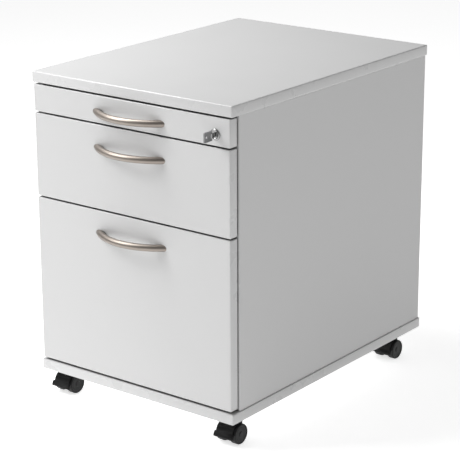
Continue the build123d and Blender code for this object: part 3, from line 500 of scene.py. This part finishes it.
# ---------------------------------------------------------------- boards
def edged_board(name, node, body, radius, faces, edges):
    """A board with rounded edges, and a fine seam where its edging meets the facing.

    faces is the axis that the two faced sides look along, such as "Z" for a top board. Without edges the board has
    no edging and no seam.
    """
    low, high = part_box(node)
    piece = cube(name, low, high)
    edit(piece)
    bpy.ops.mesh.bevel(offset=radius, offset_type="OFFSET", segments=4, profile=0.5, affect="EDGES")
    axis = "XYZ".index(faces)
    middle = (low[axis] + high[axis]) / 2
    reach = (high[axis] - low[axis]) / 2 - HAIR
    seam, edging = sizes().seam, sizes().edging
    if edges:
        for side in (-1, 1):
            pick(piece, "faces", lambda f: side * (middle_of(f)[axis] - middle) > reach)
            bpy.ops.mesh.inset(thickness=max(edging - radius, seam), depth=0)
            bpy.ops.mesh.inset(thickness=seam, depth=-seam)
            bpy.ops.mesh.inset(thickness=seam, depth=seam)
    done(piece)
    piece.data.materials.clear()
    piece.data.materials.append(melamine_facing())
    piece.data.materials.append(abs_edging())
    limits = [(low[i] + edging, high[i] - edging) for i in range(3) if i != axis]
    for face in piece.data.polygons:
        place = [face.center[i] for i in range(3) if i != axis]
        inside = all(a - seam < p < b + seam for p, (a, b) in zip(place, limits))
        face.material_index = 0 if inside or not edges else 1
    return finish_piece(piece, body, "board", None, node)


class PEDESTAL_OT_carcass(bpy.types.Operator):
    """Model the top, base, side and back boards"""
    bl_idname = "pedestal.carcass"
    bl_label = "Carcass boards"

    def execute(self, context):
        radius = sizes().edge_radius
        edged_board("top_board", "top_panel", "cabinet", radius, "Z", True)
        edged_board("base_board", "base_panel", "cabinet", radius, "Z", True)
        edged_board("left_side_board", "side_panel_left", "cabinet", sizes().side_radius, "X", True)
        edged_board("right_side_board", "side_panel_right", "cabinet", sizes().side_radius, "X", True)
        edged_board("back_board", "back_panel", "cabinet", sizes().side_radius, "Y", False)
        return {"FINISHED"}


class PEDESTAL_OT_fronts(bpy.types.Operator):
    """Model the three drawer fronts"""
    bl_idname = "pedestal.fronts"
    bl_label = "Drawer fronts"

    def execute(self, context):
        for drawer in DRAWERS:
            edged_board(f"{drawer}_front", f"{drawer}_drawer_front", f"{drawer}_drawer", sizes().front_radius, "Y",
                        True)
        return {"FINISHED"}


# ---------------------------------------------------------------- handles
HANDLE_SIDES = 40
HANDLE_STEPS = 80


def bow_handle(name, node, body):
    """A round rod bent to one arc: a ring spun about the arc's centre, then cut flat where it meets the front."""
    low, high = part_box(node)
    rod = (high.z - low.z) / 2
    rise = high.y - low.y - rod
    bend = (high.x ** 2 - rod ** 2 + rise ** 2) / (2 * (rod + rise))
    centre = Vector((0, low.y + rod + bend, (low.z + high.z) / 2))
    half_turn = acos((bend - rise) / (bend + rod)) + radians(4)
    first = centre + bend * Vector((-sin(half_turn), -cos(half_turn), 0))
    piece = start(bpy.ops.mesh.primitive_circle_add, name, vertices=HANDLE_SIDES, radius=rod, location=first,
                  rotation=(0, pi / 2, -half_turn))
    edit(piece)
    # with no window, spin turns the other way, which is why the angle is negative
    bpy.ops.mesh.spin(steps=HANDLE_STEPS, angle=-2 * half_turn, center=centre, axis=AXES["Z"])
    bpy.ops.mesh.select_all(action="SELECT")
    bpy.ops.mesh.bisect(plane_co=(0, high.y, 0), plane_no=(0, 1, 0), clear_outer=True, use_fill=True)
    done(piece, 60)
    return finish_piece(piece, body, "satin_nickel", satin_nickel(), node)


class PEDESTAL_OT_handles(bpy.types.Operator):
    """Model the three bow handles"""
    bl_idname = "pedestal.handles"
    bl_label = "Bow handles"

    def execute(self, context):
        for drawer in DRAWERS:
            bow_handle(f"{drawer}_bow_handle", f"{drawer}_drawer_handle", f"{drawer}_drawer")
        return {"FINISHED"}


# ---------------------------------------------------------------- lock and key
BARREL_RADIUS = 8 * MM
RING_DOME = 1.9 * MM           # radius of the ring's rounded shoulder
RING_LIP = ((1.0 * MM, 0), (0.35 * MM, 0.5 * MM), (0, 1.1 * MM))     # depth, and how far out from the bore


def lock_barrel():
    """The lock's cylinder, turned in one piece: a domed ring, a bore for the core and a plain barrel."""
    low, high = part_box("lock_cylinder")
    face = high.y - low.y - sizes().lock_ring
    ring = (high.x - low.x) / 2
    proud, bore = sizes().lock_ring, sizes().plug_radius + RUNNING_GAP
    centre = Vector(((low.x + high.x) / 2, low.y + proud, (low.z + high.z) / 2))
    lip = [(depth - proud, bore + out) for depth, out in RING_LIP]
    dome = [(RING_DOME * (1 - cos(a)) - proud, ring - RING_DOME * (1 - sin(a))) for a in quarter(0, 90)]
    profile = [(face, bore), *lip, *dome, (0, ring), (0, BARREL_RADIUS), (face, BARREL_RADIUS)]
    piece = lathe("lock_ring_and_barrel", centre, "Y", profile, steps=64, closed=True)
    return finish_piece(piece, "pen_drawer", "lock_chrome", chrome_plate(), "lock_cylinder")


GRIP_CORNER = 1.6 * MM
GRIP_RIM = 1.5 * MM            # width of the raised rim
GRIP_RECESS = 0.25 * MM        # width and depth of the step inside the rim
RING_HOLE = (2.1 * MM, 4 * MM)         # radius and length of its cutter
RING_HOLE_INSET = 5.6 * MM     # from the grip's far end
HINGE_INSET = 1.8 * MM         # from the grip's near end to the pin of its hinge
HINGE_SLOT = (2.8 * MM, 3.7 * MM)      # depth past the pin, and half its height
HINGE_PIN = (0.85 * MM, 14.2 * MM)     # radius and length of the bore for it


def key_grip():
    """The key's flat grip: a plate with rounded corners, a raised rim, a ring hole and a slot for the blade."""
    low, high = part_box("key_bow")
    piece = cube("key_grip", low, high)
    edit(piece)
    pick(piece, "edges", lambda e: runs_along(e, 0) and all(v.co.y < low.y + MM for v in e.verts))
    bpy.ops.mesh.bevel(offset=GRIP_CORNER, offset_type="OFFSET", segments=8, affect="EDGES")
    for side in (-1, 1):
        pick(piece, "faces", lambda f: side * f.normal.x > 0.99)
        bpy.ops.mesh.inset(thickness=GRIP_RIM, depth=0)
        bpy.ops.mesh.inset(thickness=GRIP_RECESS, depth=-GRIP_RECESS)
    bpy.ops.object.mode_set(mode="OBJECT")
    middle = (low + high) / 2
    pin = Vector((middle.x, high.y - HINGE_INSET, middle.z))
    depth, room = HINGE_SLOT
    cut(piece, cube("slot", (low.x - MM, pin.y - depth, middle.z - room),
                    (high.x + MM, high.y + MM, middle.z + room)))
    radius, reach = RING_HOLE
    cut(piece, start(bpy.ops.mesh.primitive_cylinder_add, "hole", vertices=32, radius=radius, depth=reach,
                     location=(middle.x, low.y + RING_HOLE_INSET, middle.z), rotation=(0, pi / 2, 0)))
    radius, reach = HINGE_PIN
    cut(piece, start(bpy.ops.mesh.primitive_cylinder_add, "bore", vertices=24, radius=radius, depth=reach,
                     location=pin))
    soften(piece, 0.35 * MM, 3, 40)
    done(piece)
    return finish_piece(piece, "key_bow", "key_plastic", slot_material("key_plastic"), "key_bow")


class PEDESTAL_OT_lock(bpy.types.Operator):
    """Model the lock's ring and barrel, and the grip of its key"""
    bl_idname = "pedestal.lock"
    bl_label = "Lock and key"

    def execute(self, context):
        lock_barrel()
        key_grip()
        return {"FINISHED"}


# ---------------------------------------------------------------- casters
TREAD_ROUND = 1.3 * MM         # inner edge of the tread
SHOULDER_ROUND = 2.4 * MM      # outer edge of the tread
HOUSING_EDGE = 0.5 * MM
# from the inner side outwards: distance from that side, and radius or how far in from the tread
HUB = ((0, 5.4 * MM), (2.0 * MM, 6.0 * MM))
INNER_RIM = ((2.0 * MM, 3.6 * MM), (0.3 * MM, 3.0 * MM))
# from the rim to the middle of the closed face: distance in from the outer side, and the same
OUTER_RIM = ((0.3 * MM, 3.4 * MM), (0.9 * MM, 3.9 * MM), (1.0 * MM, 5.0 * MM), (0.6 * MM, 5.6 * MM))
CAP = ((1.0 * MM, 7.0 * MM), (0.9 * MM, 5.2 * MM), (0.1 * MM, 4.6 * MM), (0, 3.4 * MM), (0, 0))


def wheel_pattern(width, radius, axle):
    """A right-hand wheel at the origin: a recessed inner side, a rounded tread and a dished face with a cap."""
    face = width - sizes().wheel_face
    side = INNER_RIM[-1][0]
    inner = [(face, 0), (face, axle), (0, axle), *HUB, *((x, radius - inward) for x, inward in INNER_RIM),
             (side, radius - TREAD_ROUND)]
    tread = [(side + TREAD_ROUND * (1 - cos(a)), radius - TREAD_ROUND * (1 - sin(a))) for a in quarter(15, 90)]
    shoulder = [(width - SHOULDER_ROUND * (1 - sin(a)), radius - SHOULDER_ROUND * (1 - cos(a)))
                for a in quarter(0, 75)]
    outer = [*((width - x, radius - inward) for x, inward in OUTER_RIM), *((width - x, r) for x, r in CAP)]
    return lathe("wheel_pattern", (0, 0, 0), "X", inner + tread + shoulder + outer, steps=64)


class PEDESTAL_OT_casters(bpy.types.Operator):
    """Model the swivel housings and the twin wheels of the four casters"""
    bl_idname = "pedestal.casters"
    bl_label = "Twin-wheel casters"

    def execute(self, context):
        low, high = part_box("caster_front_left_wheel_right")
        axle_low, axle_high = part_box("caster_front_left_axle")
        axle = (axle_high.z - axle_low.z) / 2 + RUNNING_GAP
        pattern = wheel_pattern(high.x - low.x, (high.z - low.z) / 2, axle)
        for corner in CORNERS:
            housing = softened(f"caster_{corner}_housing", f"caster_{corner}_fork", HOUSING_EDGE)
            finish_piece(housing, f"caster_{corner}", "caster_plastic", caster_nylon(), f"caster_{corner}_fork")
            for side, turn in (("left", pi), ("right", 0)):
                node = f"caster_{corner}_wheel_{side}"
                low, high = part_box(node)
                place = (high.x if turn else low.x, (low.y + high.y) / 2, (low.z + high.z) / 2)
                wheel = copied(pattern, f"caster_{corner}_{side}_wheel", place, turn)
                finish_piece(wheel, node, "caster_plastic", wheel_tread(), node)
        alone(pattern)
        bpy.ops.object.delete()
        return {"FINISHED"}


# ---------------------------------------------------------------- drawers
HEM_GAP = 0.4 * MM             # inside the folded hem
# the catch pin's head: distance from the drawer's side, and how much wider than the pin
PIN_HEAD = ((0, 1.4 * MM), (1.0 * MM, 1.0 * MM), (1.2 * MM, 0))
PIN_CHAMFER = 0.8 * MM


def pin_place(node):
    """Place of a drawer's catch pin, as (y, z), read from the tip that stands furthest out of its frame node."""
    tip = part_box(node)[1].x - HAIR
    ends = [v.co for v in frame["nodes"][node].data.vertices if v.co.x > tip]
    return [(min(c[i] for c in ends) + max(c[i] for c in ends)) / 2 for i in (1, 2)]


def steel_drawer(name, node, body):
    """A folded and welded sheet-steel drawer: bent corners, flat hems along its sides, and its catch pin."""
    low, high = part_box(node)
    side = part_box("side_panel_right")[0].x - sizes().drawer_gap
    sheet, bend = sizes().sheet, sizes().bend
    piece = cube(name, (-side, low.y, low.z), (side, high.y, high.z - sheet))
    edit(piece)
    pick(piece, "faces", lambda f: f.normal.z > 0.99)
    bpy.ops.mesh.delete(type="FACE")
    pick(piece, "edges", lambda e: runs_along(e, 2) or all(v.co.z < low.z + MM for v in e.verts))
    bpy.ops.mesh.bevel(offset=bend, offset_type="OFFSET", segments=4, affect="EDGES")
    rim = high.z - sheet - HAIR
    for way in (-1, 1):
        pick(piece, "edges", lambda e: runs_along(e, 1) and all(v.co.z > rim and v.co.x * way > side - HAIR
                                                               for v in e.verts))
        bpy.ops.mesh.extrude_region_move(TRANSFORM_OT_translate={"value": (way * HEM_GAP, 0, 0)})
        bpy.ops.mesh.extrude_region_move(TRANSFORM_OT_translate={"value": (0, 0, -sizes().hem)})
    done(piece)
    modify(piece, "SOLIDIFY", thickness=sheet, offset=-1, use_even_offset=True)
    soften(piece, 0.25 * MM, 2, 50)
    radius, reach = sizes().catch_pin, high.x - side
    profile = [(0, 0), *((along, radius + wider) for along, wider in PIN_HEAD),
               (reach - PIN_CHAMFER, radius), (reach, radius - PIN_CHAMFER), (reach, 0)]
    joined(piece, lathe("catch_pin", (side, *pin_place(node)), "X", profile, steps=32))
    done(piece)
    return finish_piece(piece, body, "grey_steel", powder_coat(), node)


class PEDESTAL_OT_drawers(bpy.types.Operator):
    """Model the two steel drawers"""
    bl_idname = "pedestal.drawers"
    bl_label = "Steel drawers"

    def execute(self, context):
        for drawer in ("box", "file"):
            steel_drawer(f"{drawer}_steel_drawer", f"{drawer}_drawer_shell", f"{drawer}_drawer")
        return {"FINISHED"}


# ---------------------------------------------------------------- CAD nodes that keep their shape
class PEDESTAL_OT_finishes(bpy.types.Operator):
    """Give every CAD node that still shows its material"""
    bl_idname = "pedestal.finishes"
    bl_label = "Finishes of the inner pieces"

    def execute(self, context):
        slots = {entry["node"]: entry["material_slot"] for entry in frame["record"]["subparts"]}
        for name, node in frame["nodes"].items():
            material = slot_material(slots[name])
            for i in range(len(node.material_slots)):
                node.material_slots[i].material = material
        return {"FINISHED"}


# ---------------------------------------------------------------- stage
FLOOR_SIZE = 30                # metres
FLOOR_GLOW = 0.68
WORLD_GLOW = 0.24
SENSOR_WIDTH = 36              # millimetres, as the lens
LIGHTS = {                     # place, target, size and power of each soft light
    "front_light": ((-1.2, -1.15, 1.65), (0, 0, 0.3), 0.9, 26),
    "top_light": ((-0.85, -0.3, 2.0), (0, 0, 0.5), 0.9, 28),
    "rim_light": ((2.6, -0.6, 1.5), (0, 0, 0.3), 0.6, 2),
}


def paper_backdrop():
    """Seamless white studio paper, lit from behind: matt, almost free of colour, with hardly a shadow."""
    material, tree, shader, place = surface("studio_paper", IOR=1.3, Emission_Color=(1, 1, 1, 1),
                                            Emission_Strength=FLOOR_GLOW)
    if tree:
        mottled(tree, shader, place, linear("#f4f4f4"), 0.002, 500 * MM, 0.9, 0.02)
    return material


def soft_light(name, place, target, size, power):
    """A square area light that points at a target."""
    bpy.ops.object.light_add(type="AREA", location=place)
    lamp = bpy.context.object
    lamp.name = name
    lamp.data.shape = "SQUARE"
    lamp.data.size = size
    lamp.data.energy = power
    lamp.rotation_euler = (Vector(target) - Vector(place)).to_track_quat("-Z", "Y").to_euler()
    return lamp


class PEDESTAL_OT_stage(bpy.types.Operator):
    """Set up the floor, the soft lights and the camera"""
    bl_idname = "pedestal.stage"
    bl_label = "Studio stage"

    def execute(self, context):
        scene = context.scene
        floor = start(bpy.ops.mesh.primitive_plane_add, "studio_floor", size=FLOOR_SIZE)
        floor.data.materials.append(paper_backdrop())
        for name, light in LIGHTS.items():
            soft_light(name, *light)
        world = scene.world or bpy.data.worlds.new("studio")
        scene.world = world
        world.use_nodes = True
        world.node_tree.nodes["Background"].inputs["Color"].default_value = (1, 1, 1, 1)
        world.node_tree.nodes["Background"].inputs["Strength"].default_value = WORLD_GLOW
        scene.view_settings.view_transform = "Standard"
        view = scene.pedestal_view
        back = Vector((sin(view.azimuth) * cos(view.elevation), -cos(view.azimuth) * cos(view.elevation),
                       sin(view.elevation)))
        right = Vector((cos(view.azimuth), sin(view.azimuth), 0))
        up = back.cross(right)
        tilt = Matrix.Rotation(view.roll, 3, back)
        bpy.ops.object.camera_add(location=Vector(view.aim) + back * view.distance)
        camera = context.object
        camera.matrix_world = Matrix.Translation(camera.location) @ Matrix(
            (tilt @ right, tilt @ up, back)).transposed().to_4x4()
        camera.data.lens = view.lens
        camera.data.sensor_width = SENSOR_WIDTH
        scene.camera = camera
        return {"FINISHED"}


class PEDESTAL_PT_panel(bpy.types.Panel):
    """Lists the pieces of the pedestal"""
    bl_idname = "PEDESTAL_PT_panel"
    bl_label = "Rolling pedestal"
    bl_space_type = "VIEW_3D"
    bl_region_type = "UI"
    bl_category = "Pedestal"

    def draw(self, context):
        for operator in OPERATORS:
            self.layout.operator(operator.bl_idname)


OPERATORS = (PEDESTAL_OT_carcass, PEDESTAL_OT_fronts, PEDESTAL_OT_handles, PEDESTAL_OT_lock, PEDESTAL_OT_casters,
             PEDESTAL_OT_drawers, PEDESTAL_OT_finishes, PEDESTAL_OT_stage)
GROUPS = {"pedestal_sizes": PedestalSizes, "pedestal_colours": PedestalColours, "pedestal_view": PedestalView}


def register():
    for item in (*GROUPS.values(), *OPERATORS, PEDESTAL_PT_panel):
        bpy.utils.register_class(item)
    for name, group in GROUPS.items():
        setattr(bpy.types.Scene, name, bpy.props.PointerProperty(type=group))


def unregister():
    for name in GROUPS:
        delattr(bpy.types.Scene, name)
    for item in reversed((*GROUPS.values(), *OPERATORS, PEDESTAL_PT_panel)):
        bpy.utils.unregister_class(item)


def main():
    register()
    for operator in OPERATORS:
        group, name = operator.bl_idname.split(".")
        getattr(getattr(bpy.ops, group), name)()


if __name__ == "__main__":
    main()
